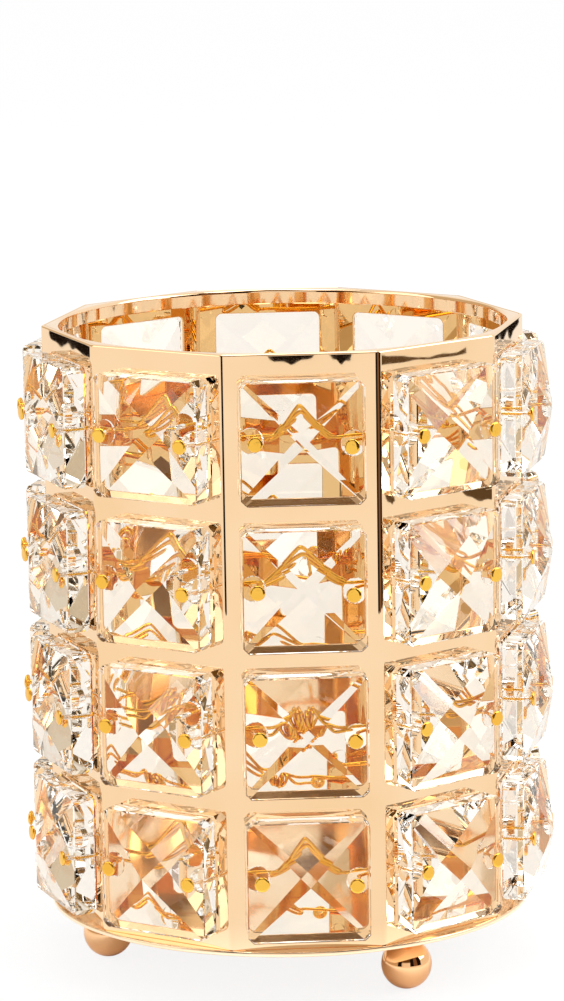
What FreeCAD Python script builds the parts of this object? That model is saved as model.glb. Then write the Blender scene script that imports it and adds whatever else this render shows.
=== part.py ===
"""Crystal brush holder: a ten-sided gold-plated barrel with forty wired-in crystals.

Millimetres. +Z is up, the origin is on the table under the barrel's axis, and the middle of the
front panel faces -Y. Panels are counted anticlockwise from the front, seen from above, and rows
from the top down.
"""

import FreeCAD, Part
import math
import os
import Sketcher

PANELS = 10
ROWS = 4
FEET = 3

# Driving dimensions.
SIZES = {
    # shell: one strip of sheet bent to ten panels
    "across_corners": 100.0,
    "sheet": 0.7,
    "bend_radius": 2.3,
    "window_lap": 1.1,
    "window_lift": 0.8,
    "window_cut": 0.9,
    # rows of crystals, measured between the crystals' edges
    "top_gap": 4.95,
    "row_gap": 4.9,
    "bottom_gap": 2.55,
    # crystals
    "crystal_side": 24.7,
    "girdle": 4.4,
    "crown": 4.0,
    "back": 3.5,
    "seat_slack": 0.04,
    "corner_cut": 1.2,
    "hole_pitch": 19.0,
    "hole_offset": 0.45,
    "hole_slack": 0.1,
    # headpins
    "wire": 0.8,
    "head_width": 3.1,
    "head_thick": 0.6,
    "head_slack": 0.02,
    "tail_slack": 0.1,
    "tail_past": 1.5,
    # rim
    "rim_sheet": 0.8,
    "collar_wall": 0.5,
    "collar_drop": 2.4,
    "collar_slack": 0.1,
    # base and feet
    "base_sheet": 1.0,
    "base_lip": 0.5,
    "base_chamfer": 0.3,
    "ball": 10.4,
    "neck_width": 6.0,
    "neck_height": 2.1,
    "feet_circle": 78.0,
    "feet_turn": 33.0,
}

# Expressions used by more than one piece.
STEP_ANGLE = 360.0 / PANELS
CORNER = "Sizes.across_corners / 2"
APOTHEM = f"({CORNER} * cos({STEP_ANGLE / 2} deg))"
INNER_APOTHEM = f"({APOTHEM} - Sizes.sheet)"
INNER_CORNER = f"({INNER_APOTHEM} / cos({STEP_ANGLE / 2} deg))"
WINDOW = "(Sizes.crystal_side - 2 * Sizes.window_lap)"
ROW_PITCH = "(Sizes.crystal_side + Sizes.row_gap)"
FOOT_HEIGHT = "(Sizes.ball + Sizes.neck_height)"
FLOOR = f"({FOOT_HEIGHT} + Sizes.base_sheet)"
LOWEST_MIDDLE = f"({FLOOR} + Sizes.bottom_gap + Sizes.crystal_side / 2)"
CRYSTALS_HEIGHT = f"({ROWS} * Sizes.crystal_side + {ROWS - 1} * Sizes.row_gap)"
SHELL_HEIGHT = f"(Sizes.bottom_gap + {CRYSTALS_HEIGHT} + Sizes.top_gap)"
CROWN_SLOPE = "(Sizes.crown / (Sizes.crystal_side / 2))"
BACK_SLOPE = "(Sizes.back / (Sizes.crystal_side / 2))"
# the back facet's reach behind the crystal's rim where it meets the window's lower edge
DIP = f"((Sizes.window_lap + Sizes.window_lift) * {BACK_SLOPE})"
SEAT = f"({APOTHEM} + {DIP} + Sizes.seat_slack)"
PIN_X = "(Sizes.hole_pitch / 2)"
HEAD_SEAT = (
    f"({SEAT} + Sizes.girdle + Sizes.head_slack"
    f" + (Sizes.crystal_side / 2 - {PIN_X} + Sizes.head_width / 2) * {CROWN_SLOPE})"
)
TAIL_RADIUS = f"({SEAT} - Sizes.back - Sizes.wire / 2 - Sizes.tail_slack)"

doc = FreeCAD.newDocument("BrushHolder")
sheet = doc.addObject("Spreadsheet::Sheet", "Sizes")
for line, (alias, value) in enumerate(SIZES.items(), start=1):
    sheet.set(f"A{line}", alias)
    sheet.set(f"B{line}", str(value))
    sheet.setAlias(f"B{line}", alias)
doc.recompute()

nodes = []


def value_of(expression):
    """The number that an expression gives now, used as a sketch's first guess."""
    return float(getattr(sheet.evalExpression(expression), "Value", sheet.evalExpression(expression)))


def node(obj, label):
    """Mark an object as one of the part's own pieces."""
    obj.Label = label
    nodes.append(obj)
    return obj


# ---------------------------------------------------------------- sketches


def plane_of(body, role):
    return next(f for f in body.Origin.OriginFeatures if f.Role == role)


def new_sketch(body, name, role, offset=None):
    """A sketch on one of the body's origin planes, moved along its normal by an expression."""
    sketch = body.newObject("Sketcher::SketchObject", name)
    sketch.AttachmentSupport = [(plane_of(body, role), "")]
    sketch.MapMode = "FlatFace"
    if offset:
        sketch.setExpression("AttachmentOffset.Base.z", offset)
    return sketch


def tie(sketch, geometry, end, x, y):
    """Hold one point of a sketch at a place given by two expressions."""
    for kind, axis, text in (("DistanceX", -2, x), ("DistanceY", -1, y)):
        if text == "0":
            sketch.addConstraint(Sketcher.Constraint("PointOnObject", geometry, end, axis))
            continue
        number = sketch.addConstraint(Sketcher.Constraint(kind, geometry, end, value_of(text)))
        sketch.setExpression(f"Constraints[{number}]", text)


def outline(sketch, corners, closed=True):
    """Straight lines through corners given as pairs of expressions."""
    points = [FreeCAD.Vector(value_of(x), value_of(y), 0) for x, y in corners]
    last = len(corners) if closed else len(corners) - 1
    first = sketch.GeometryCount
    for i in range(last):
        sketch.addGeometry(Part.LineSegment(points[i], points[(i + 1) % len(points)]), False)
    for i in range(last if closed else last - 1):
        following = first + (i + 1) % last
        sketch.addConstraint(Sketcher.Constraint("Coincident", first + i, 2, following, 1))
    for i in range(last):
        tie(sketch, first + i, 1, *corners[i])
    if not closed:
        tie(sketch, first + last - 1, 2, *corners[-1])


def circle(sketch, radius):
    """A circle round the sketch's origin."""
    ring = Part.Circle(FreeCAD.Vector(0, 0, 0), FreeCAD.Vector(0, 0, 1), value_of(radius))
    number = sketch.addGeometry(ring, False)
    sketch.addConstraint(Sketcher.Constraint("Coincident", number, 3, -1, 1))
    held = sketch.addConstraint(Sketcher.Constraint("Radius", number, value_of(radius)))
    sketch.setExpression(f"Constraints[{held}]", radius)


def ring_of_corners(count, radius, x="0", y="0"):
    """Corners of a regular polygon with one side square to -Y, as pairs of expressions."""
    turns = [(i + 0.5) * 360.0 / count for i in range(count)]
    return [(f"{x} + {radius} * sin({t} deg)", f"{y} - {radius} * cos({t} deg)") for t in turns]


def cut_square(width, height, cut):
    """Corners of a rectangle round the origin whose own corners are cut at 45 degrees."""
    wide, tall = f"{width} / 2", f"{height} / 2"
    near, low = f"({wide} - {cut})", f"({tall} - {cut})"
    quarter = [(f"{wide}", f"{low}"), (f"{near}", f"{tall}")]
    quarter += [(f"-{near}", f"{tall}"), (f"-({wide})", f"{low}")]
    quarter += [(f"-({wide})", f"-{low}"), (f"-{near}", f"-({tall})")]
    return quarter + [(f"{near}", f"-({tall})"), (f"{wide}", f"-{low}")]


# ---------------------------------------------------------------- features


def new_body(name):
    return doc.addObject("PartDesign::Body", name)


def feature(body, kind, name, profile, **settings):
    """A feature on a sketch; text settings are expressions, all others plain values."""
    made = body.newObject(f"PartDesign::{kind}", name)
    made.Profile = profile
    for key, setting in settings.items():
        if isinstance(setting, str):
            made.setExpression(key, setting)
        else:
            setattr(made, key, setting)
    doc.recompute()
    return made


def pad(body, name, profile, length, reverse=False):
    return feature(body, "Pad", name, profile, Length=length, Reversed=reverse)


def pocket(body, name, profile, length=None, reverse=False, both=False):
    """A cut that must remove something, to a length or right through."""
    before = body.Shape.Volume
    settings = {"Length": length} if length else {"Type": 1}
    made = feature(body, "Pocket", name, profile, Reversed=reverse, Midplane=both, **settings)
    assert body.Shape.Volume < before - 1e-3, f"{name} cuts nothing"
    return made


def round_upright(body, name, base, near_radius, radius):
    """Round the upright edges that stand at a distance from the barrel's axis."""
    wanted = value_of(near_radius)
    edges = []
    for number, edge in enumerate(base.Shape.Edges, start=1):
        start, end = edge.Vertexes[0].Point, edge.Vertexes[-1].Point
        upright = math.hypot(start.x - end.x, start.y - end.y) < 1e-6 and start.z != end.z
        if upright and abs(math.hypot(start.x, start.y) - wanted) < 1e-4:
            edges.append(f"Edge{number}")
    made = body.newObject("PartDesign::Fillet", name)
    made.Base = (base, edges)
    made.setExpression("Radius", radius)
    doc.recompute()
    return made


def placed(source, name, turn=0.0, axis=(0, 0, 1), height=None):
    """A copy of a piece, turned about an axis through the origin and lifted by an expression."""
    copy = doc.addObject("Part::Compound", name)
    copy.Links = source if isinstance(source, list) else [source]
    copy.Placement = FreeCAD.Placement(
        FreeCAD.Vector(0, 0, 0), FreeCAD.Rotation(FreeCAD.Vector(*axis), turn)
    )
    if height:
        copy.setExpression("Placement.Base.z", height)
    return copy


# ---------------------------------------------------------------- pieces


def barrel_shell():
    """The windowed shell: a ten-sided tube with rounded bends and four windows in each panel."""
    body = new_body("FrameShell")
    sole = new_sketch(body, "ShellOutline", "XY_Plane", FLOOR)
    outline(sole, ring_of_corners(PANELS, CORNER))
    block = pad(body, "ShellPad", sole, SHELL_HEIGHT)
    bent = round_upright(body, "OuterBends", block, CORNER, "Sizes.bend_radius")
    inside = new_sketch(body, "ShellInside", "XY_Plane", FLOOR)
    outline(inside, ring_of_corners(PANELS, INNER_CORNER))
    hollow = pocket(body, "ShellHollow", inside, reverse=True)
    round_upright(body, "InnerBends", hollow, INNER_CORNER, "Sizes.bend_radius - Sizes.sheet")

    window = new_sketch(body, "Window", "XZ_Plane")
    window.setExpression("AttachmentOffset.Base.y", f"{LOWEST_MIDDLE} + Sizes.window_lift")
    outline(window, cut_square(WINDOW, WINDOW, "Sizes.window_cut"))
    first = pocket(body, "FirstWindow", window, CORNER, reverse=True)

    every = body.newObject("PartDesign::MultiTransform", "AllWindows")
    up = doc.addObject("PartDesign::LinearPattern", "WindowsUp")
    up.Direction = (plane_of(body, "Z_Axis"), [""])
    up.setExpression("Length", f"{ROWS - 1} * {ROW_PITCH}")
    up.Occurrences = ROWS
    around = doc.addObject("PartDesign::PolarPattern", "WindowsAround")
    around.Axis = (plane_of(body, "Z_Axis"), [""])
    around.Angle = 360.0
    around.Occurrences = PANELS
    body.Group = body.Group + [up, around]
    every.Originals = [first]
    every.Transformations = [up, around]
    body.Tip = every
    doc.recompute()
    return node(body, "frame_shell")


def rim():
    """The ring let into the shell's mouth, flush with its top edge: ten-sided outside, round
    inside, with a collar hanging from the round edge.
    """
    body = new_body("TopRim")
    under = f"({FLOOR} + {SHELL_HEIGHT} - Sizes.rim_sheet)"
    bore = f"({INNER_APOTHEM} - Sizes.collar_slack - Sizes.collar_wall)"
    ring = new_sketch(body, "RimOutline", "XY_Plane", under)
    outline(ring, ring_of_corners(PANELS, INNER_CORNER))
    circle(ring, bore)
    flat = pad(body, "RimPad", ring, "Sizes.rim_sheet")
    round_upright(body, "RimBends", flat, INNER_CORNER, "Sizes.bend_radius - Sizes.sheet")
    wall = new_sketch(body, "CollarOutline", "XY_Plane", under)
    circle(wall, bore)
    circle(wall, f"({bore} + Sizes.collar_wall)")
    pad(body, "Collar", wall, "Sizes.collar_drop", reverse=True)
    return node(body, "top_rim")


def base():
    """The round floor, a little wider than the shell's corners, with broken edges."""
    disc = doc.addObject("Part::Cylinder", "BaseDisc")
    disc.setExpression("Radius", f"{CORNER} + Sizes.base_lip")
    disc.setExpression("Height", "Sizes.base_sheet")
    disc.setExpression("Placement.Base.z", FOOT_HEIGHT)
    doc.recompute()
    rounds = [i for i, e in enumerate(disc.Shape.Edges, start=1) if e.isClosed()]
    plate = doc.addObject("Part::Chamfer", "BasePlate")
    plate.Base = disc
    size = value_of("Sizes.base_chamfer")
    plate.Edges = [(i, size, size) for i in rounds]
    return node(plate, "base_plate")


def feet():
    """Three balls on short necks, brazed under the base."""
    ball = doc.addObject("Part::Sphere", "Ball")
    ball.setExpression("Radius", "Sizes.ball / 2")
    ball.setExpression("Placement.Base.z", "Sizes.ball / 2")
    neck = doc.addObject("Part::Cylinder", "Neck")
    neck.setExpression("Radius", "Sizes.neck_width / 2")
    neck.setExpression("Height", "Sizes.ball / 2 + Sizes.neck_height")
    neck.setExpression("Placement.Base.z", "Sizes.ball / 2")
    for solid in (ball, neck):
        solid.setExpression("Placement.Base.y", "-Sizes.feet_circle / 2")
    foot = doc.addObject("Part::Fuse", "Foot")
    foot.Base, foot.Tool = ball, neck
    doc.recompute()
    copies = []
    for i in range(FEET):
        copy = placed(foot, f"Foot{i + 1}")
        copy.setExpression("Placement.Rotation.Angle", f"Sizes.feet_turn + {i * 360 / FEET}")
        copies.append(copy)
    doc.recompute()
    return node(placed(copies, "BallFeet"), "ball_feet")


def crystal():
    """One clear square crystal, in front of the front panel's window: straight walls between a
    four-sided crown and a lower four-sided back that dips into the window, with its corners cut
    and two holes drilled through beside its left and right edges.
    """
    body = new_body("Crystal")
    back_point, edge = f"({SEAT} - Sizes.back)", f"({SEAT} + Sizes.girdle)"
    back = new_sketch(body, "CrystalBack", "XZ_Plane", back_point)
    outline(back, cut_square("Sizes.crystal_side", "Sizes.crystal_side", "Sizes.corner_cut"))
    pad(body, "CrystalBlock", back, "Sizes.back + Sizes.girdle + Sizes.crown")

    over = "(Sizes.crystal_side / 2 + Sizes.corner_cut)"
    crown_point = f"({edge} + Sizes.crown)"
    crown_low = f"({edge} - Sizes.corner_cut * {CROWN_SLOPE})"
    back_low = f"({SEAT} + Sizes.corner_cut * {BACK_SLOPE})"
    for name, role, swap in (("SideFacets", "XY_Plane", False), ("EndFacets", "YZ_Plane", True)):
        cut = new_sketch(body, name, role)
        for point, low in ((crown_point, crown_low), (back_point, back_low)):
            for sign in ("-", ""):
                waste = [("0", f"-{point}"), (f"{sign}{over}", f"-{point}"), (f"{sign}{over}", f"-{low}")]
                if swap:
                    waste = [(depth, across) for across, depth in waste]
                outline(cut, waste)
        pocket(body, name + "Cut", cut, both=True)

    drill = new_sketch(body, "PinHoles", "XZ_Plane", back_point)
    bore = "(Sizes.wire / 2 + Sizes.hole_slack)"
    outline(drill, ring_of_corners(6, bore, PIN_X, "-Sizes.hole_offset"))
    outline(drill, ring_of_corners(6, bore, f"-{PIN_X}", "Sizes.hole_offset"))
    pocket(body, "PinHolesCut", drill, reverse=True)
    return body


def headpin():
    """The headpin of the front panel's right-hand hole: a flat head on the crown, a shank
    through the crystal and a tail bent behind the post to the middle of the next crystal.
    The wire keeps six flats and the head eight, because there are eighty pins.
    """
    body = new_body("Headpin")
    head = new_sketch(body, "PinHead", "XZ_Plane", HEAD_SEAT)
    outline(head, ring_of_corners(8, "Sizes.head_width / 2", PIN_X, "-Sizes.hole_offset"))
    pad(body, "PinHeadPad", head, "Sizes.head_thick")

    section = new_sketch(body, "WireSection", "XZ_Plane", HEAD_SEAT)
    outline(section, ring_of_corners(6, "Sizes.wire / 2", PIN_X, "-Sizes.hole_offset"))
    route = new_sketch(body, "WireRoute", "XY_Plane", "-Sizes.hole_offset")
    turn = f"{STEP_ANGLE} deg"
    end_x = f"{TAIL_RADIUS} * sin({turn}) + Sizes.tail_past * cos({turn})"
    end_y = f"Sizes.tail_past * sin({turn}) - {TAIL_RADIUS} * cos({turn})"
    stations = [(PIN_X, f"-{HEAD_SEAT}"), (PIN_X, f"-{TAIL_RADIUS}"), (end_x, end_y)]
    outline(route, stations, closed=False)
    doc.recompute()
    wire = body.newObject("PartDesign::AdditivePipe", "Wire")
    wire.Profile = section
    wire.Spine = (route, ["Edge1", "Edge2"])
    wire.Transition = "Right corner"
    doc.recompute()
    return body


def row_height(row):
    """Height of the middle of a row, counted from the top."""
    return f"{LOWEST_MIDDLE} + {ROWS - row} * {ROW_PITCH}"


def crystals():
    one = crystal()
    for row in range(1, ROWS + 1):
        for panel in range(1, PANELS + 1):
            turn = (panel - 1) * STEP_ANGLE
            copy = placed(one, f"Crystal{row}x{panel}", turn, height=row_height(row))
            node(copy, f"crystal_row{row}_panel{panel:02d}")


def headpins():
    right = headpin()
    left = placed(right, "LeftPin", 180.0, axis=(0, 1, 0))
    pairs = [placed([right, left], f"Pair{i + 1}", i * STEP_ANGLE) for i in range(PANELS)]
    for row in range(1, ROWS + 1):
        node(placed(pairs, f"PinRow{row}", height=row_height(row)), f"headpins_row{row}")


barrel_shell()
rim()
base()
feet()
crystals()
headpins()
doc.recompute()

for obj in doc.Objects:
    assert not {"Invalid", "Error"} & set(obj.State), f"{obj.Label}: {obj.State}"
for obj in nodes:
    assert not obj.Shape.isNull() and obj.Shape.isValid(), f"{obj.Label} has no valid shape"

os.makedirs("parts", exist_ok=True)
for obj in nodes:
    obj.Shape.exportStep(f"parts/{obj.Label}.step")
print(f"{len(nodes)} nodes written")
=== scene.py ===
import math

import bmesh
import bpy
import numpy as np
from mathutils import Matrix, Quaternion, Vector


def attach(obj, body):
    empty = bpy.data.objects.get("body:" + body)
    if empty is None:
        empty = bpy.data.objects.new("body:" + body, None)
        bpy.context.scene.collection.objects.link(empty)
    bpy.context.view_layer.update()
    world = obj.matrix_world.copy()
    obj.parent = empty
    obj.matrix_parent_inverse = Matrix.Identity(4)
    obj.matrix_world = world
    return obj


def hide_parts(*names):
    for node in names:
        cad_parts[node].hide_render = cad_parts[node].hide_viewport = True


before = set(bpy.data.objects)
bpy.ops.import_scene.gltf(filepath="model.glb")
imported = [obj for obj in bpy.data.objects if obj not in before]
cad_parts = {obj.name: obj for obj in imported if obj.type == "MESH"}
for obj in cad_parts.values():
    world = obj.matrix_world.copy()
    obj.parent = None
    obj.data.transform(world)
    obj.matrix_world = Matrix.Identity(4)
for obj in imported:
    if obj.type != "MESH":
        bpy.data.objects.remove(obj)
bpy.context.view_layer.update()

# Crystal brush holder: a ten-sided gold-plated barrel with forty crystals wired over its windows.
# The object's sizes are in millimetres, and become metres when a piece's mesh is made. Materials
# and the studio are in metres. The front panel faces -Y. Panels count anticlockwise from it, seen
# from above, and rows count from the top down. A panel's own coordinates are (across, out, up):
# across runs anticlockwise, and out is the distance from the barrel's axis along its normal.

# One millimetre, and the distance within which points are welded, both in metres.
MM = 0.001
WELD = 2e-6

PANELS = 10
ROWS = 4
FEET = 3
STEP = 2 * math.pi / PANELS
HALF = STEP / 2

# Sizes. The hole, recess, ball, neck, feet circle, corner, bore, wire and head are radii.
# crystals: a square double pyramid on a girdle, drilled right and left of its middle
CRYSTAL = 24.7
GIRDLE = 4.4
CROWN = 4.0
BACK = 3.5
CORNER_CUT = 1.2
BEVEL_WIDE = 0.22
BEVEL_DEEP = 0.7 * BEVEL_WIDE
HOLE_X = 9.5
HOLE_Z = -0.45
HOLE = 0.5
RECESS = 2.6
RECESS_OUT = 0.2
HOLE_SIDES = 24
# rows of crystals, between their edges
TOP_GAP = 4.95
ROW_GAP = 4.9
BOTTOM_GAP = 2.55
ROW_PITCH = CRYSTAL + ROW_GAP
# ball feet and base: the ball's arc runs so many degrees from its lowest point to its neck
BALL = 5.2
BALL_TURN = 146
NECK = 3.0
NECK_HEIGHT = 2.1
FEET_CIRCLE = 39.0
FEET_TURN = 33.0
FOOT_Z = 2 * BALL + NECK_HEIGHT
BASE_SHEET = 1.0
BASE_LIP = 0.5
BASE_EDGE = 0.3
BASE_STRIP = 0.08
FLOOR_Z = FOOT_Z + BASE_SHEET
# barrel: a panel's middle lies at the apothem, and half its flat lies between it and a bend
CORNER = 50.0
SHEET = 0.7
BEND = 2.3
APOTHEM = CORNER * math.cos(HALF)
INNER = APOTHEM - SHEET
FLAT_HALF = (APOTHEM - BEND) * math.tan(HALF)
SHELL_TOP = FLOOR_Z + BOTTOM_GAP + ROWS * CRYSTAL + (ROWS - 1) * ROW_GAP + TOP_GAP
TOP_MIDDLE = SHELL_TOP - TOP_GAP - CRYSTAL / 2
BASE_RADIUS = CORNER + BASE_LIP
# windows: the crystals lap over them, and they sit higher than the crystals' middles
WINDOW_LAP = 1.1
WINDOW_LIFT = 0.8
WINDOW_ROUND = 1.3
WINDOW = CRYSTAL - 2 * WINDOW_LAP
WINDOW_HUB = WINDOW / 2 - WINDOW_ROUND
# the sheet's edges: roundings, a chamfer, and narrow strips of flat that keep the shading crisp
TOP_ROUND = 0.42
LIP = 0.28
INNER_LIP = 0.12
CHAMFER = 0.1
STRIP = 0.05
CUT_STRIP = 0.04
# rim: a flat ring with a round bore, and a collar that hangs from it
RIM_SHEET = 0.8
RIM_UNDER = SHELL_TOP - RIM_SHEET
RIM_SLACK = 0.03
RIM_LAND = 0.28
RIM_STRIP = 0.06
BORE = 46.25
BORE_ROUND = 0.7
COLLAR_WALL = 0.5
COLLAR_DROP = 2.4
COLLAR_CHAMFER = 0.15
# where a crystal's seat lies: its lower back facet rests on its window's lower edge
SEAT_SLACK = 0.04
REST = SEAT_SLACK + BACK * (1 - (WINDOW / 2 - WINDOW_LIFT) / (CRYSTAL / 2))
SEAT = APOTHEM + REST
# headpins: the head clears the crown, and the tail runs behind the crystals' back points
WIRE = 0.34
HEAD = 1.55
HEAD_SLACK = 0.02
HEAD_SEAT = SEAT + GIRDLE + (CRYSTAL / 2 - HOLE_X + HEAD) * CROWN / (CRYSTAL / 2) + HEAD_SLACK
TAIL_DEEP = 0.5
TAIL_OUT = SEAT - BACK - TAIL_DEEP


# ---------------------------------------------------------------- surfaces


def new_object(name, data):
    """An object in the scene."""
    made = bpy.data.objects.new(name, data)
    bpy.context.scene.collection.objects.link(made)
    return made


def grid_faces(rows, columns, wrap_columns, wrap_rows):
    """Quads of a grid: each joins a point, its neighbour along the row, and the two above."""
    i = np.arange(rows if wrap_rows else rows - 1)[:, None]
    j = np.arange(columns if wrap_columns else columns - 1)[None, :]
    up, along = (i + 1) % rows, (j + 1) % columns
    corners = [i * columns + j, i * columns + along, up * columns + along, up * columns + j]
    return np.stack(np.broadcast_arrays(*corners), axis=-1).reshape(-1, 4)


def piece(name, sheets, material, nodes, crease=30.0):
    """One object from sheets, each (grid of points in millimetres, wraps along, wraps up). The
    sheets' edges are welded, all faces turned outwards, and edges past the crease angle kept sharp.
    """
    points, faces, start = [], [], 0
    for sheet, along, up in sheets:
        rows, columns = sheet.shape[:2]
        points.append(sheet.reshape(-1, 3))
        faces.append(grid_faces(rows, columns, along, up) + start)
        start += rows * columns
    mesh = bpy.data.meshes.new(name)
    mesh.from_pydata((np.concatenate(points) * MM).tolist(), [], np.concatenate(faces).tolist())
    work = bmesh.new()
    work.from_mesh(mesh)
    bmesh.ops.remove_doubles(work, verts=work.verts, dist=WELD)
    bmesh.ops.dissolve_degenerate(work, edges=work.edges, dist=WELD / 4)
    bmesh.ops.recalc_face_normals(work, faces=work.faces)
    work.to_mesh(mesh)
    work.free()
    mesh.shade_smooth()
    mesh.set_sharp_from_angle(angle=math.radians(crease))
    mesh.materials.append(material)
    made = new_object(name, mesh)
    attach(made, "root")
    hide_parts(*nodes)


def row_height(row):
    """The height of the middle of a row's crystals."""
    return TOP_MIDDLE - (row - 1) * ROW_PITCH


def on_panel(points, panel):
    """Panel coordinates to the object's: out along the panel's normal, across square to it."""
    turn = (panel - 1) * STEP - math.pi / 2
    across, out, up = points[..., 0], points[..., 1], points[..., 2]
    x = out * math.cos(turn) - across * math.sin(turn)
    y = out * math.sin(turn) + across * math.cos(turn)
    return np.stack(np.broadcast_arrays(x, y, up), axis=-1)


def arc(start, end, count):
    """Evenly spaced angles in radians, from limits in degrees."""
    return np.linspace(math.radians(start), math.radians(end), count)


def arc_points(middle, radius, start, end, count):
    """Points of an arc in a plane: the middle plus the radius times each angle's cosine and sine."""
    turn = arc(start, end, count)
    return np.array(middle) + radius * np.stack([np.cos(turn), np.sin(turn)], axis=-1)


def joined(bows, steps):
    """A closed loop: bows of points in a plane, and from the end of each a straight run of even
    steps to the start of the next.
    """
    share = np.linspace(0, 1, steps + 2)[1:-1, None]
    runs = bows[:, -1:] * (1 - share) + np.roll(bows, -1, axis=0)[:, :1] * share
    return np.concatenate([bows, runs], axis=1).reshape(-1, 2)


def lathe(profile, count, centre=(0.0, 0.0)):
    """A profile of (radius, height) rows turned about an upright axis."""
    turn = np.arange(count) * 2 * math.pi / count
    radius, height = np.asarray(profile, float).T
    x = centre[0] + radius[:, None] * np.cos(turn)
    y = centre[1] + radius[:, None] * np.sin(turn)
    return np.stack(np.broadcast_arrays(x, y, height[:, None]), axis=-1), True, False


# ---------------------------------------------------------------- shell

# A window's corners, anticlockwise from the upper right, and the points of each rounded corner
# and of each straight run between two.
QUARTERS = np.array([(1, 1), (-1, 1), (-1, -1), (1, -1)])
BOW_POINTS = 7
RUN_POINTS = 9
# The points of each of the barrel's bends, and of the rim's flats between them.
BEND_POINTS = 9
FLAT_POINTS = 7

# The lip of a window, from the outer face to the inner: (spread from the window's edge, out).
LIP_PROFILE = np.concatenate([
    [(LIP + STRIP, APOTHEM), (LIP, APOTHEM)],
    arc_points((LIP, APOTHEM - LIP), LIP, 105, 180, 5),
    [(0, INNER + INNER_LIP + CUT_STRIP)],
    arc_points((INNER_LIP, INNER + INNER_LIP), INNER_LIP, 180, 270, 3),
    [(INNER_LIP + STRIP, INNER)],
])

# The barrel's top and bottom edges, from the outer face to the inner: (out, height).
TOP_PROFILE = np.concatenate([
    arc_points((APOTHEM - TOP_ROUND, SHELL_TOP - TOP_ROUND), TOP_ROUND, 0, 90, 8),
    [(INNER + CHAMFER, SHELL_TOP), (INNER, SHELL_TOP - CHAMFER), (INNER, SHELL_TOP - TOP_ROUND)],
])
BOTTOM_PROFILE = np.array([
    (APOTHEM, FLOOR_Z + CHAMFER), (APOTHEM - CHAMFER, FLOOR_Z),
    (INNER + CHAMFER, FLOOR_Z), (INNER, FLOOR_Z + CHAMFER),
])


def quarter_rays():
    """For each corner of a window, directions spread over its quarter turn."""
    turn = np.arange(4)[:, None] * math.pi / 2 + np.linspace(0, math.pi / 2, BOW_POINTS)
    return np.stack([np.cos(turn), np.sin(turn)], axis=-1)


def window_loop(spread):
    """The window's rounded outline, spread outwards by a distance: four quarter circles about
    fixed centres, joined by straight runs. Given as (across, up) from the window's middle.
    """
    return joined(QUARTERS[:, None] * WINDOW_HUB + quarter_rays() * (WINDOW_ROUND + spread), RUN_POINTS)


def cell_loop(half_wide, low, high):
    """The border of a window's cell of sheet, matched point by point to window_loop: straight
    runs face straight runs and each rounded corner faces the square corner beyond it.
    """
    rays = quarter_rays()
    rays /= np.abs(rays).max(axis=-1, keepdims=True)
    tall = np.where(QUARTERS[:, 1] > 0, high, low)
    reach = np.column_stack([np.full(4, half_wide), tall]) - WINDOW_HUB
    return joined(QUARTERS[:, None] * WINDOW_HUB + rays * reach[:, None], RUN_POINTS)


def along_side(border, axis, value):
    """The places of a border's points along the straight side where one coordinate has a value.
    Numbers that differ only by rounding count as one.
    """
    on_side = np.abs(border[:, axis] - value) < 1e-9
    return np.unique(np.round(border[on_side, 1 - axis], 9))


def window_cell(border, inside):
    """A cell of sheet: its border and a loop just inside it on the outer face, the window's lip,
    and the same two loops on the inner face.
    """
    lip = [window_loop(spread) for spread in LIP_PROFILE[:, 0]]
    loops = np.stack([border, inside, *lip, inside, border])
    out = np.array([APOTHEM, APOTHEM, *LIP_PROFILE[:, 1], INNER, INNER])
    return np.stack(np.broadcast_arrays(loops[..., 0], out[:, None], loops[..., 1]), axis=-1)


def flat_sheet(profile, panel, across):
    """A profile of (out, height) rows carried along a panel's flat, through distances across."""
    out, height = profile.T[..., None]
    flat = np.stack(np.broadcast_arrays(across[None, :], out, height), axis=-1)
    return on_panel(flat, panel), False, False


def bend_sheet(profile, panel):
    """A profile of (out, height) rows carried round the bend after a panel: every out keeps its
    distance from the bend's centre.
    """
    out, height = profile.T[..., None]
    hub = APOTHEM - BEND
    turn = np.linspace(0, STEP, BEND_POINTS)
    across = FLAT_HALF + (out - hub) * np.sin(turn)
    bend = np.stack(np.broadcast_arrays(across, hub + (out - hub) * np.cos(turn), height), axis=-1)
    return on_panel(bend, panel), False, False


def shell_sheets():
    """The bent sheet: the cells round the windows, the bends between the cells on the same
    heights, and the top and bottom edges through the same distances across.
    """
    sheets = []
    for row in range(1, ROWS + 1):
        middle = row_height(row) + WINDOW_LIFT
        high = SHELL_TOP - TOP_ROUND - middle if row == 1 else ROW_PITCH / 2
        low = middle - CHAMFER - FLOOR_Z if row == ROWS else ROW_PITCH / 2
        border = cell_loop(FLAT_HALF, low, high)
        cell = window_cell(border, cell_loop(FLAT_HALF - STRIP, low - STRIP, high - STRIP))
        heights = along_side(border, 0, FLAT_HALF) + middle
        edges = []
        if row == 1:
            edges.append((TOP_PROFILE, high))
        if row == ROWS:
            edges.append((BOTTOM_PROFILE, -low))
        for panel in range(1, PANELS + 1):
            sheets.append((on_panel(cell + [0, 0, middle], panel), True, False))
            for face in (APOTHEM, INNER):
                sheets.append(bend_sheet(np.column_stack([np.full(len(heights), face), heights]), panel))
            for profile, side in edges:
                sheets.append(flat_sheet(profile, panel, along_side(border, 1, side)))
                sheets.append(bend_sheet(profile, panel))
    return sheets


# ---------------------------------------------------------------- rim

# The outer top corner of the rim: (in from its outer side, below its top).
RIM_CORNER = ((0.0, 0.12), (0.1, 0.02), (0.2, 0.0))


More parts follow.
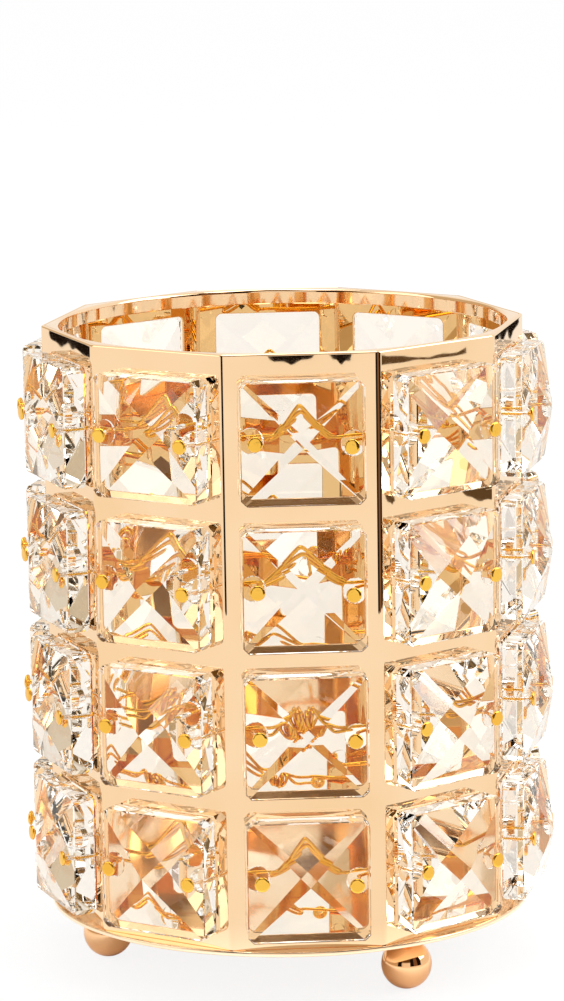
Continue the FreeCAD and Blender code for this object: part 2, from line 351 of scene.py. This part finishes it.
def tensided_ring(inset, height):
    """A ten-sided ring with rounded bends, all set in by a distance: arcs about fixed centres,
    joined by flats.
    """
    hub = (APOTHEM - BEND) / math.cos(HALF)
    turn = np.linspace(-HALF, HALF, BEND_POINTS)
    corner = -math.pi / 2 + HALF + np.arange(PANELS)[:, None] * STEP
    x = hub * np.cos(corner) + (BEND - inset) * np.cos(corner + turn)
    y = hub * np.sin(corner) + (BEND - inset) * np.sin(corner + turn)
    loop = joined(np.stack([x, y], axis=-1), FLAT_POINTS)
    return np.column_stack([loop, np.full(len(loop), float(height))])


def round_ring(radius, height):
    """A ring of one radius, or of one per ray, on the same rays as the ten-sided ring's points."""
    loop = tensided_ring(0, height)
    loop[:, :2] *= (radius / np.hypot(loop[:, 0], loop[:, 1]))[:, None]
    return loop


def rim_sheet():
    """The rim: a section through the flat ring and its collar, carried round inside the shell's
    mouth. Its outer end follows the ten sides and its inner end the round bore. The bore's edge is
    a quarter ellipse, as wide as the flat ring leaves room for: narrowest at a panel's middle.
    """
    outer = SHEET + RIM_SLACK
    foot = RIM_UNDER - COLLAR_DROP
    room = np.hypot(*tensided_ring(outer + RIM_LAND, SHELL_TOP)[:, :2].T) - BORE
    width = np.minimum(BORE_ROUND, room)
    rows = [tensided_ring(outer, RIM_UNDER + CHAMFER)]
    rows += [tensided_ring(outer + inset, SHELL_TOP - drop) for inset, drop in RIM_CORNER]
    rows += [round_ring(BORE + width + RIM_STRIP, SHELL_TOP)]
    rows += [
        round_ring(BORE + width * (1 - math.sin(a)), SHELL_TOP - BORE_ROUND * (1 - math.cos(a)))
        for a in arc(0, 90, 8)
    ]
    rows += [
        round_ring(BORE, SHELL_TOP - BORE_ROUND - STRIP),
        round_ring(BORE, foot + COLLAR_CHAMFER),
        round_ring(BORE + CHAMFER, foot),
        round_ring(BORE + COLLAR_WALL - CHAMFER, foot),
        round_ring(BORE + COLLAR_WALL, foot + CHAMFER),
        round_ring(BORE + COLLAR_WALL, RIM_UNDER),
        tensided_ring(outer + CHAMFER, RIM_UNDER),
    ]
    return np.stack(rows), True, True


# ---------------------------------------------------------------- base and feet

# A foot's neck from the ball up to the plate: (wider than the neck, below the plate).
NECK_PROFILE = np.array([(-0.06, 2.8), (0.0, 2.55), (0.0, 0.4), (0.1, 0.15), (0.3, 0.0)])


def base_sheet():
    """The base: a flat disc whose upper and lower edges are quarter circles."""
    edge = BASE_RADIUS - BASE_EDGE
    return lathe(np.concatenate([
        [(0.0, FOOT_Z), (edge - BASE_STRIP, FOOT_Z)],
        arc_points((edge, FOOT_Z + BASE_EDGE), BASE_EDGE, -90, 0, 6),
        arc_points((edge, FLOOR_Z - BASE_EDGE), BASE_EDGE, 0, 90, 6),
        [(edge - BASE_STRIP, FLOOR_Z), (0.0, FLOOR_Z)],
    ]), count=160)


def feet_sheets():
    """The feet: a ball from its lowest point up to its neck, and the neck, which spreads against
    the plate. They stand at even angles on one circle.
    """
    profile = np.concatenate([
        arc_points((0.0, BALL), BALL, -90, BALL_TURN - 90, 40),
        NECK_PROFILE * [1, -1] + [NECK, FOOT_Z],
        [(0.0, FOOT_Z)],
    ])
    turns = np.radians(FEET_TURN + 360 / FEET * np.arange(FEET))
    centres = FEET_CIRCLE * np.column_stack([np.sin(turns), -np.cos(turns)])
    return [lathe(profile, 56, centre) for centre in centres]


# ---------------------------------------------------------------- crystals


def crystal_loop(inset=0.0):
    """The crystal's outline from its right edge round, set in by a distance: a square with its
    corners cut, and a point in the middle of each cut, where two facets of the crown meet.
    """
    near = CRYSTAL / 2 - CORNER_CUT - inset * (math.sqrt(2) - 1)
    slant = CRYSTAL / 2 - CORNER_CUT / 2 - inset / math.sqrt(2)
    side = CRYSTAL / 2 - inset
    half = [(side, -near), (side, near), (slant, slant), (near, side), (-near, side), (-slant, slant)]
    return np.array(half + [(-x, -z) for x, z in half])


def with_out(points, out):
    """(across, up) points given a distance out from the crystal's seat."""
    out = np.broadcast_to(out, points.shape[:-1])
    return np.stack([points[..., 0], out, points[..., 1]], axis=-1)


def rise(points):
    """One at the crystal's middle, falling evenly to nothing at each edge of the square."""
    return 1 - np.abs(points).max(axis=-1) / (CRYSTAL / 2)


def front_out(points):
    """How far out the crown is: the girdle, and the crown's depth times the rise."""
    return GIRDLE + CROWN * rise(points)


def back_out(points):
    """How far out the back is: less than nothing, by the back's depth times the rise."""
    return -BACK * rise(points)


def nearest_corners(turns, corners, centre):
    """For each direction from the hole's middle, the facet's corner that lies nearest to it."""
    rays = corners - centre
    lean = np.arctan2(rays[:, 1], rays[:, 0])
    apart = np.abs((turns[:, None] - lean[None, :] + math.pi) % (2 * math.pi) - math.pi)
    return corners[apart.argmin(axis=1)]


def crystal_sheets():
    """One crystal in its panel's coordinates, out measured from its seat: bevelled walls, then
    plain facets fanned from the front and the back point, and drilled facets ringed round the
    holes, which open to a wide flat-bottomed recess at the back.
    """
    wall, outline = crystal_loop(), crystal_loop(BEVEL_WIDE)
    walls = [
        with_out(outline, back_out(outline)), with_out(wall, back_out(wall) + BEVEL_DEEP),
        with_out(wall, front_out(wall) - BEVEL_DEEP), with_out(outline, front_out(outline)),
    ]
    sheets = [(np.stack(walls), True, False)]
    # the facets above and below, between the points at the middles of the cut corners
    upper = outline[2:6]
    point = np.zeros_like(upper)
    for sign in (1, -1):
        for out in (front_out, back_out):
            fan = np.stack([with_out(sign * point, out(point)), with_out(sign * upper, out(upper))])
            sheets.append((fan, False, False))
    # the facets at the right, with their hole, and at the left, half a turn round
    centre = np.array([HOLE_X, HOLE_Z])
    slant = outline[2, 0]
    facet = np.array([(0, 0), (slant, -slant), outline[0], outline[1], (slant, slant)])
    facet_turns = np.arctan2(facet[:, 1] - HOLE_Z, facet[:, 0] - HOLE_X) % (2 * math.pi)
    even_turns = np.arange(HOLE_SIDES) * 2 * math.pi / HOLE_SIDES
    turns = np.unique(np.round(np.concatenate([even_turns, facet_turns]), 7))
    ray = np.stack([np.cos(turns), np.sin(turns)], axis=-1)
    throat, mouth = centre + HOLE * ray, centre + RECESS * ray
    corner = nearest_corners(turns, facet, centre)
    drilled = np.stack([
        with_out(corner, front_out(corner)), with_out(throat, front_out(throat)),
        with_out(throat, RECESS_OUT), with_out(mouth, RECESS_OUT),
        with_out(mouth, back_out(mouth)), with_out(corner, back_out(corner)),
    ])
    sheets += [(drilled, True, False), (drilled * [-1, 1, -1], True, False)]
    return sheets


# ---------------------------------------------------------------- headpins

# A headpin's head and the shank under it: (height over the head's underside, radius). The flare
# under the head narrows before it reaches the crystal's hole.
HEAD_PROFILE = np.array([
    (0.62, 0.0), (0.615, 0.5), (0.605, 0.95), (0.58, 1.22), (0.53, 1.4), (0.44, 1.51), (0.31, HEAD),
    (0.15, HEAD), (0.03, 1.44), (-0.06, 1.15), (-0.19, 0.86), (-0.27, 0.64), (-0.32, 0.48), (-0.6, 0.4),
    (-1.2, 0.36), (-2.2, WIRE),
])
# How the wire's cut end tapers: shares of its radius.
WIRE_END = (0.9, 0.65, 0.0)
# How the shank becomes the tail: how far out from the tail's level it ends, where it turns, out
# from that level and across, and how far in from that level the tail is tied.
SHANK_OUT = 1.0
TURN_OUT = 0.1
TURN_ACROSS = 0.45
TIED_IN = 0.05
# The points of the shank, the share of its length at which they start, those of each span of the
# tail, and the sides of the wire.
SHANK_POINTS = 8
SHANK_START = 0.12
SPAN_POINTS = 6
WIRE_SIDES = 14


def coiled_wire():
    """Three turns of a helix about the level line, between two straight legs. It advances evenly
    but for a slow wave, and its radius, taller than wide, swells and shrinks.
    """
    spin = np.linspace(0, 6 * math.pi, 31)
    advance = 0.19 * spin - 1.8 + 0.35 * np.sin(0.8 * spin)
    radius = 0.95 + 0.3 * np.sin(1.37 * spin + 0.6)
    helix = np.stack([advance, radius * np.sin(spin) - 1.5, 1.2 * radius * np.cos(spin)], axis=-1)
    return np.concatenate([
        [(-9.6, -0.3, 0.6), (-7.0, -0.5, 0.5), (-4.4, -0.9, 0.55)],
        helix,
        [(4.0, -0.9, -0.55), (6.4, -0.6, -0.5), (8.8, -0.4, -0.55)],
    ])


# The wire behind a crystal, drawn for the strand that comes in from the left: (across, out from
# the tail's level, up). Peaked: up to a peak, down the other side, and back up beside itself.
COILED = coiled_wire()
PEAKED = np.array([
    (-9.6, -0.3, 0.55), (-7.6, -0.4, 0.5), (-5.7, -0.6, 0.75), (-3.6, -0.8, 2.5), (-1.6, -0.9, 4.3),
    (-0.3, -1.0, 5.1), (1.0, -1.0, 4.5), (3.0, -0.9, 2.9), (4.9, -0.8, 1.5), (6.2, -0.8, 0.8),
    (6.9, -1.1, 0.0), (6.1, -1.5, -0.5), (4.4, -1.6, 0.15), (2.7, -1.6, 1.3), (1.0, -1.6, 2.6),
])
# Each row's wire: its drawing, its width and height as shares of the drawn ones, and its second
# strand's height as a share of the first's.
WIRING = {
    1: (PEAKED, 0.62, 0.8, 0.72),
    2: (PEAKED, 1.0, 1.0, 0.72),
    3: (COILED, 1.0, 1.0, 1.0),
    4: (PEAKED, 0.7, 0.85, 0.72),
}
# Where the first strand is set, up from the row's middle. The second is its mirror image, set
# lower and nearer the axis.
FIRST_UP = 0.35
SECOND_LOWER = 0.45
SECOND_IN = 0.35
# How much the strands' heights and widths differ, as shares, and the phase of the waves that they
# follow: its steps from panel to panel and from side to side, and how much faster the widths' runs.
HAND_TALL = 0.07
HAND_WIDE = 0.05
HAND_STEP = 2.1
HAND_SIDE = 0.7
HAND_FASTER = 1.7


def tube(path, radius):
    """A round section carried along a path: at each point a circle square to the path, measured
    from a side direction that is the path's direction crossed with up.
    """
    along = np.gradient(path, axis=0)
    along /= np.linalg.norm(along, axis=1, keepdims=True)
    side = np.cross(along, [0.0, 0.0, 1.0])
    side /= np.linalg.norm(side, axis=1, keepdims=True)
    over = np.cross(side, along)
    turn = np.arange(WIRE_SIDES) * 2 * math.pi / WIRE_SIDES
    ring = side[:, None, :] * np.cos(turn)[:, None] + over[:, None, :] * np.sin(turn)[:, None]
    return path[:, None, :] + ring * radius[:, None, None]


def smooth_path(stations):
    """A curve through stations: between each pair a cubic whose slope at a station points along
    its two neighbours (Catmull-Rom), given as equally many points per span.
    """
    p = np.concatenate([[2 * stations[0] - stations[1]], stations, [2 * stations[-1] - stations[-2]]])
    t = np.linspace(0, 1, SPAN_POINTS, endpoint=False)[None, :, None]
    a, b, c, d = p[:-3, None], p[1:-2, None], p[2:-1, None], p[3:, None]
    curve = b + 0.5 * t * (c - a + t * (2 * a - 5 * b + 4 * c - d + t * (3 * (b - c) + d - a)))
    return np.concatenate([curve.reshape(-1, 3), stations[-1:]])


def strand(side, stations, spread, deeper):
    """One headpin in the coordinates of the panel it is tied behind. It comes from the next
    panel on the given side: head and shank along that panel's normal, a rounded turn behind the
    post, then the drawn stations.
    """
    normal = np.array([math.sin(side * STEP), math.cos(side * STEP), 0.0])
    across = np.array([math.cos(side * STEP), -math.sin(side * STEP), 0.0])
    hole = across * (-side * HOLE_X) + np.array([0, 0, side * -HOLE_Z])
    top = hole + normal * HEAD_SEAT
    head = top + normal * HEAD_PROFILE[:, :1]
    shank_end = hole + normal * (TAIL_OUT + SHANK_OUT)
    share = np.linspace(SHANK_START, 1, SHANK_POINTS)[:, None]
    shank = head[-1] + (shank_end - head[-1]) * share
    turned = hole + normal * (TAIL_OUT + TURN_OUT) - across * side * TURN_ACROSS
    drawn = stations * [-side * spread, 1.0, 1.0] + [0.0, TAIL_OUT - TIED_IN - deeper, 0.0]
    route = smooth_path(np.concatenate([shank_end[None], turned[None], drawn]))[1:]
    path = np.concatenate([head, shank, route])
    radius = np.concatenate([HEAD_PROFILE[:, 1], np.full(len(path) - len(HEAD_PROFILE), WIRE)])
    radius[-len(WIRE_END):] *= WIRE_END
    return path, radius


def pin_sheets(row):
    """All strands of one row, each bent by hand a little differently: its height and width follow
    sine waves of a phase that differs from strand to strand.
    """
    sheets = []
    stations, wide, tall, second_tall = WIRING[row]
    for panel in range(1, PANELS + 1):
        for side in (-1, 1):
            hand = HAND_STEP * (panel - 1) + HAND_SIDE * side
            second = side > 0
            up = tall * (second_tall if second else 1.0) * (1 + HAND_TALL * math.sin(hand))
            spread = wide * (1 + HAND_WIDE * math.sin(HAND_FASTER * hand))
            drawn = stations * [1, 1, up] + [0, 0, FIRST_UP - SECOND_LOWER * second]
            path, radius = strand(side, drawn, spread, SECOND_IN * second)
            points = tube(path + [0, 0, row_height(row)], radius)
            sheets.append((on_panel(points, panel), True, False))
    return sheets


# ---------------------------------------------------------------- materials


def feed(node, inputs):
    """Sets a node's inputs, each by its name or number: a value, or a socket to link."""
    for key, value in inputs.items():
        if isinstance(value, bpy.types.NodeSocket):
            node.id_data.links.new(value, node.inputs[key])
        else:
            node.inputs[key].default_value = value


def add(tree, kind, inputs, **settings):
    """A new node with its settings made and its inputs fed."""
    node = tree.nodes.new(kind)
    for key, value in settings.items():
        setattr(node, key, value)
    feed(node, inputs)
    return node


def noise(tree, place, scale, detail, roughness=0.5):
    """Random patches between 0 and 1 over the given coordinates."""
    inputs = {"Vector": place, "Scale": scale, "Detail": detail, "Roughness": roughness}
    return add(tree, "ShaderNodeTexNoise", inputs).outputs["Fac"]


def fade(tree, value, start=0.0, end=1.0, low=0.0, high=1.0, smooth=False):
    """Low up to the start, high from the end on, and evenly or smoothly between."""
    inputs = {"Value": value, "From Min": start, "From Max": end, "To Min": low, "To Max": high}
    kind = "SMOOTHSTEP" if smooth else "LINEAR"
    return add(tree, "ShaderNodeMapRange", inputs, interpolation_type=kind).outputs["Result"]


def mixed(tree, share, first, second):
    """The first colour where the share is 0, the second where it is 1, and mixes between."""
    inputs = {"Factor": share, "A": first, "B": second}
    return add(tree, "ShaderNodeMix", inputs, data_type="RGBA").outputs["Result"]


def worked_out(tree, operation, *values):
    """The result of one operation on numbers."""
    return add(tree, "ShaderNodeMath", dict(enumerate(values)), operation=operation).outputs[0]


def new_material(name):
    """A material and its nodes."""
    made = bpy.data.materials.new(name)
    made.use_nodes = True
    return made, made.node_tree


def painted_shade_inside(tree, place, plating, inside_shade, facing):
    """The plating, with a darker colour painted as shade inside the barrel where a measure is low: the
    distance from the axis, which is lower behind the sheet, or how far a face turns away from the axis.
    """
    inputs = {0: place["Object"], 1: (1, 1, 0)}
    level = add(tree, "ShaderNodeVectorMath", inputs, operation="MULTIPLY").outputs[0]
    if facing:
        inputs = {0: level, 1: place["Normal"]}
        reach = add(tree, "ShaderNodeVectorMath", inputs, operation="DOT_PRODUCT")
        start, end = -0.02, 0.005
    else:
        reach = add(tree, "ShaderNodeVectorMath", {0: level}, operation="LENGTH")
        start, end = 0.0475, 0.0505
    share = fade(tree, reach.outputs["Value"], start, end)
    return mixed(tree, share, (*inside_shade, 1), plating)


def plated(name, light, deep, rough, grain, wave, dent, inside_shade=None, facing=False):
    """Bright plating: two close colours in slow patches, faint polishing marks in the roughness,
    and a shallow waviness of thin pressed sheet. A darker colour inside the barrel is painted shade.
    """
    made, tree = new_material(name)
    place = tree.nodes.new("ShaderNodeTexCoord").outputs
    patches = fade(tree, noise(tree, place["Object"], scale=38.0, detail=3.0), start=0.35, end=0.65)
    plating = mixed(tree, patches, (*light, 1), (*deep, 1))
    if inside_shade:
        plating = painted_shade_inside(tree, place, plating, inside_shade, facing)
    marks = noise(tree, place["Object"], grain, detail=5.0, roughness=0.6)
    ripple = noise(tree, place["Object"], wave, detail=1.5)
    bump = add(tree, "ShaderNodeBump", {"Strength": 1.0, "Distance": dent, "Height": ripple})
    feed(tree.nodes["Principled BSDF"], {
        "Base Color": plating,
        "Metallic": 1.0,
        "Roughness": fade(tree, marks, low=rough[0], high=rough[1]),
        "Normal": bump.outputs["Normal"],
    })
    return made


def cut_glass(name):
    """Clear pressed crystal: a trace of warmth in slow patches and faint polishing haze."""
    made, tree = new_material(name)
    place = tree.nodes.new("ShaderNodeTexCoord").outputs["Object"]
    patches = noise(tree, place, scale=60.0, detail=2.0)
    haze = noise(tree, place, scale=420.0, detail=3.0)
    feed(tree.nodes["Principled BSDF"], {
        "Base Color": mixed(tree, patches, (1.0, 0.98, 0.945, 1), (0.995, 0.955, 0.89, 1)),
        "Transmission Weight": 1.0,
        "IOR": 1.54,
        "Specular Tint": (0.75, 0.62, 0.45, 1),
        "Roughness": fade(tree, haze, low=0.0, high=0.02),
    })
    return made


# The frame's faces that turn towards the axis take a darker colour: painted shade inside the barrel.
frame_gold = plated(
    "frame_gold", light=(0.98, 0.715, 0.455), deep=(0.95, 0.66, 0.385), rough=(0.0, 0.025),
    grain=900.0, wave=55.0, dent=0.00003, inside_shade=(0.83, 0.55, 0.255), facing=True,
)
rim_gold = plated(
    "rim_gold", light=(0.98, 0.735, 0.49), deep=(0.95, 0.68, 0.42), rough=(0.03, 0.08),
    grain=900.0, wave=90.0, dent=0.00005,
)
base_gold = plated(
    "base_gold", light=(1.0, 0.8, 0.58), deep=(0.97, 0.74, 0.5), rough=(0.06, 0.14),
    grain=900.0, wave=70.0, dent=0.00012,
)
ball_gold = plated(
    "ball_gold", light=(0.94, 0.575, 0.31), deep=(0.89, 0.49, 0.23), rough=(0.02, 0.06),
    grain=1200.0, wave=160.0, dent=0.00005,
)
# The pins' wire behind the sheet takes a darker colour: painted shade inside the barrel.
pin_gold = plated(
    "pin_gold", light=(0.98, 0.6, 0.1), deep=(0.93, 0.5, 0.07), rough=(0.07, 0.15),
    grain=1500.0, wave=700.0, dent=0.00008, inside_shade=(0.82, 0.43, 0.05),
)
clear_crystal = cut_glass("clear_crystal")


# ---------------------------------------------------------------- the object

piece("pressed_shell", shell_sheets(), frame_gold, ["frame_shell"])
piece("mouth_rim", [rim_sheet()], rim_gold, ["top_rim"])
piece("base_disc", [base_sheet()], base_gold, ["base_plate"])
piece("ball_feet_turned", feet_sheets(), ball_gold, ["ball_feet"], crease=50)

cut = crystal_sheets()
for row in range(1, ROWS + 1):
    place = [0, SEAT, row_height(row)]
    for panel in range(1, PANELS + 1):
        sheets = [(on_panel(sheet + place, panel), along, up) for sheet, along, up in cut]
        piece(
            f"crystal_r{row}_p{panel:02d}", sheets, clear_crystal,
            [f"crystal_row{row}_panel{panel:02d}"], crease=20,
        )
    piece(f"wired_pins_row{row}", pin_sheets(row), pin_gold, [f"headpins_row{row}"], crease=60)


# ---------------------------------------------------------------- studio

WHITE = (1.0, 1.0, 1.0, 1)
FLOOR_REACH = 4.0
# The floor's share of plain white to the camera, and the ring round the object, between two
# distances, in which metal and glass stop seeing its lit surface.
FLOOR_WHITE = 0.86
FLOOR_NEAR = 0.07
FLOOR_FAR = 0.115


def polar(azimuth, radius, height):
    """Places round the object: azimuths in degrees from the front, anticlockwise from above."""
    turn = np.radians(azimuth)
    places = np.broadcast_arrays(radius * np.sin(turn), -radius * np.cos(turn), height)
    return np.stack(places, axis=-1)


def stage_sheet(name, corners, material, camera=True):
    """A flat sheet of the set."""
    mesh = bpy.data.meshes.new(name)
    mesh.from_pydata(np.asarray(corners, float).tolist(), [], [tuple(range(len(corners)))])
    mesh.materials.append(material)
    made = new_object(name, mesh)
    made.visible_camera = camera
    return made


def floor_paint():
    """A pale floor. To the camera it is mostly plain white, with some of its lit surface, which
    holds the object's shadow. To metal and glass it is a warm white, but lit near the object.
    """
    made, tree = new_material("pale_floor")
    place = tree.nodes.new("ShaderNodeTexCoord").outputs["Object"]
    ray = tree.nodes.new("ShaderNodeLightPath").outputs
    surface = tree.nodes["Principled BSDF"]
    speck = noise(tree, place, scale=9.0, detail=2.0)
    feed(surface, {
        "Base Color": fade(tree, speck, low=0.93, high=0.95),
        "Roughness": 0.9,
        "Specular IOR Level": 0.0,
    })
    warm = mixed(tree, ray["Is Transmission Ray"], (1.0, 0.98, 0.945, 1), (1.0, 0.965, 0.92, 1))
    glow = mixed(tree, ray["Is Camera Ray"], warm, WHITE)
    bounced = worked_out(tree, "MAXIMUM", ray["Is Glossy Ray"], ray["Is Transmission Ray"])
    span = add(tree, "ShaderNodeVectorMath", {0: place}, operation="LENGTH").outputs["Value"]
    away = fade(tree, span, FLOOR_NEAR, FLOOR_FAR, smooth=True)
    bounced_share = worked_out(tree, "MULTIPLY", bounced, away)
    camera_share = worked_out(tree, "MULTIPLY", ray["Is Camera Ray"], FLOOR_WHITE)
    mix = add(tree, "ShaderNodeMixShader", {
        "Fac": worked_out(tree, "MAXIMUM", bounced_share, camera_share),
        1: surface.outputs[0],
        2: add(tree, "ShaderNodeEmission", {"Color": glow, "Strength": 1.0}).outputs[0],
    })
    feed(tree.nodes["Material Output"], {"Surface": mix.outputs[0]})
    return made


stage_sheet("floor", FLOOR_REACH * np.array([(-1, -1, 0), (1, -1, 0), (1, 1, 0), (-1, 1, 0)]), floor_paint())

# Dark cards round the set, which the camera doesn't see. Metal and glass reflect all of them, and
# the lying ones also show through the glass.


def card_paint(name, colour):
    """One even tone, whatever light falls on it."""
    made, tree = new_material(name)
    glow = add(tree, "ShaderNodeEmission", {"Color": (*colour, 1), "Strength": 1.0})
    feed(tree.nodes["Material Output"], {"Surface": glow.outputs[0]})
    return made


def card(name, corners, paint, through_glass):
    """A card that neither shades the set nor tints its light."""
    made = stage_sheet(name, corners, paint, camera=False)
    made.visible_shadow = False
    made.visible_diffuse = False
    made.visible_transmission = through_glass


black = card_paint("black_flag", (0.012, 0.008, 0.006))
brown = card_paint("brown_flag", (0.2, 0.11, 0.06))
olive = card_paint("olive_flag", (0.11, 0.07, 0.035))

# Upright cards, each from one azimuth to another: their distance, and their corners' heights.
UPRIGHT_AWAY = 0.43
UPRIGHT_HEIGHTS = np.array([0.002, 0.002, 0.5, 0.5])
UPRIGHT = ((13, 28, black), (28, 44, brown), (44, 61, black), (-40, -23, black))
for number, (left, right, paint) in enumerate(UPRIGHT):
    corners = polar(np.array([left, right, right, left]), UPRIGHT_AWAY, UPRIGHT_HEIGHTS)
    card(f"upright_{number}", corners, paint, False)

# Cards lying on the floor, each between two azimuths: the distances of its near edge at those
# ends, of its far edge there, and how deep a wave bites into each edge. The wave is made ragged by
# a faster one, given by its share and its turn over the edge's length.
LYING_HEIGHT = 0.0008
BEYOND = 1.3
EDGE_POINTS = 13
RAGGED = 0.2
RAGGED_TURN = 15
LYING = (
    (black, (3.2, 4.3), (0.93, 0.93), (BEYOND, BEYOND), (0.025, 0)),
    (black, (4.7, 5.4), (0.94, 0.94), (BEYOND, BEYOND), (0.03, 0)),
    (olive, (74.4, 76.8), (0.88, 0.91), (0.92, 0.93), (0, 0.02)),
    (black, (-140.5, -139.3), (0.94, 0.87), (BEYOND, BEYOND), (0.01, 0)),
    (black, (147.7, 148.4), (0.87, 0.94), (BEYOND, BEYOND), (0, 0)),
    (olive, (73.3, 73.6), (0.59, 0.59), (0.592, 0.592), (0.01, -0.01)),
    (olive, (75.7, 76.9), (0.6, 0.59), (0.605, 0.605), (0.01, -0.012)),
)


def lying_outline(azimuths, near, far, bites):
    """Along the near edge and back along the far one. Each runs evenly between its end distances,
    less its bite times the root of half a sine wave that a faster wave makes ragged.
    """
    share = np.linspace(0, 1, EDGE_POINTS)
    ragged = 1 + RAGGED * np.sin(RAGGED_TURN * share)
    wave = np.sqrt(np.abs(np.sin(math.pi * share))) * ragged
    azimuth = np.interp(share, (0, 1), azimuths)
    near_edge = np.interp(share, (0, 1), near) - bites[0] * wave
    far_edge = np.interp(share, (0, 1), far) - bites[1] * wave
    distance = np.concatenate([near_edge, far_edge[::-1]])
    return polar(np.concatenate([azimuth, azimuth[::-1]]), distance, LYING_HEIGHT)


for number, (paint, *shape) in enumerate(LYING):
    card(f"lying_{number}", lying_outline(*shape), paint, True)

LAMPS_AIM = Vector((0, 0, 0.08))


def direction_to(azimuth, elevation):
    """The direction from the object to an azimuth and an elevation, in degrees."""
    turn, lift = math.radians(azimuth), math.radians(elevation)
    level = math.cos(lift)
    return Vector((math.sin(turn) * level, -math.cos(turn) * level, math.sin(lift)))


def softbox(name, azimuth, elevation, distance, size, power):
    """A rectangular lamp turned towards the object."""
    lamp = bpy.data.lights.new(name, "AREA")
    lamp.shape = "RECTANGLE"
    lamp.size, lamp.size_y = size
    lamp.energy = power
    back = direction_to(azimuth, elevation)
    made = new_object(name, lamp)
    made.location = back * distance + LAMPS_AIM
    made.rotation_mode = "QUATERNION"
    made.rotation_quaternion = back.to_track_quat("Z", "Y")


softbox("left_softbox", azimuth=-75, elevation=30, distance=1.1, size=(0.7, 0.9), power=2.5)
softbox("right_softbox", azimuth=80, elevation=35, distance=1.1, size=(0.6, 0.8), power=6)
softbox("top_softbox", azimuth=10, elevation=82, distance=1.2, size=(0.8, 0.8), power=6)


def tent():
    """The world: plain white to the camera and to the lighting. Metal and glass see a warm tent
    that darkens to the left, with a dim room at its open front between two heights.
    """
    world = bpy.data.worlds.new("tent")
    world.use_nodes = True
    tree = world.node_tree
    ray = tree.nodes.new("ShaderNodeLightPath").outputs
    direction = tree.nodes.new("ShaderNodeTexCoord").outputs["Generated"]
    x, y, z = add(tree, "ShaderNodeSeparateXYZ", {0: direction}).outputs
    front = fade(tree, worked_out(tree, "MULTIPLY", y, -1.0), start=0.1, end=0.22, smooth=True)
    above = fade(tree, z, start=0.24, end=0.34, smooth=True)
    below = fade(tree, z, start=0.99, end=0.93, smooth=True)
    room = worked_out(tree, "MULTIPLY", worked_out(tree, "MULTIPLY", above, below), front)
    left = fade(tree, worked_out(tree, "MULTIPLY", x, -1.0), start=0.25, end=0.6, smooth=True)
    cloth = mixed(tree, z, (0.98, 0.94, 0.88, 1), (1.0, 0.98, 0.95, 1))
    cloth = mixed(tree, left, cloth, (0.62, 0.49, 0.33, 1))
    seen = mixed(tree, room, cloth, (0.14, 0.075, 0.02, 1))
    bounced = worked_out(tree, "MAXIMUM", ray["Is Glossy Ray"], ray["Is Transmission Ray"])
    lit = mixed(tree, bounced, WHITE, seen)
    feed(tree.nodes["Background"], {"Color": mixed(tree, ray["Is Camera Ray"], lit, WHITE), "Strength": 1.0})
    return world


bpy.context.scene.world = tent()


# ---------------------------------------------------------------- camera

# The camera looks at a point in the barrel, from an azimuth, an elevation and a distance, and is
# rolled a little. Its aim is in the object's millimetres.
CAMERA_AIM = (-0.67, 0.05, 96.35)
CAMERA_AZIMUTH = -3.96
CAMERA_ELEVATION = 10.54
CAMERA_AWAY = 0.9
CAMERA_ROLL = -0.86

camera = new_object("camera", bpy.data.cameras.new("camera"))
camera.data.lens = 155.28
camera.data.sensor_width = 36.0
camera.data.clip_start = 0.05
camera.data.clip_end = 20.0
back = direction_to(CAMERA_AZIMUTH, CAMERA_ELEVATION)
unrolled = (-back).to_track_quat("-Z", "Y")
camera.location = Vector(CAMERA_AIM) * MM + back * CAMERA_AWAY
camera.rotation_mode = "QUATERNION"
camera.rotation_quaternion = unrolled @ Quaternion((0, 0, 1), math.radians(CAMERA_ROLL))
bpy.context.scene.camera = camera

bpy.context.scene.view_settings.view_transform = "Standard"
bpy.context.scene.cycles.max_bounces = 24
bpy.context.scene.cycles.transmission_bounces = 24
bpy.context.scene.cycles.glossy_bounces = 10
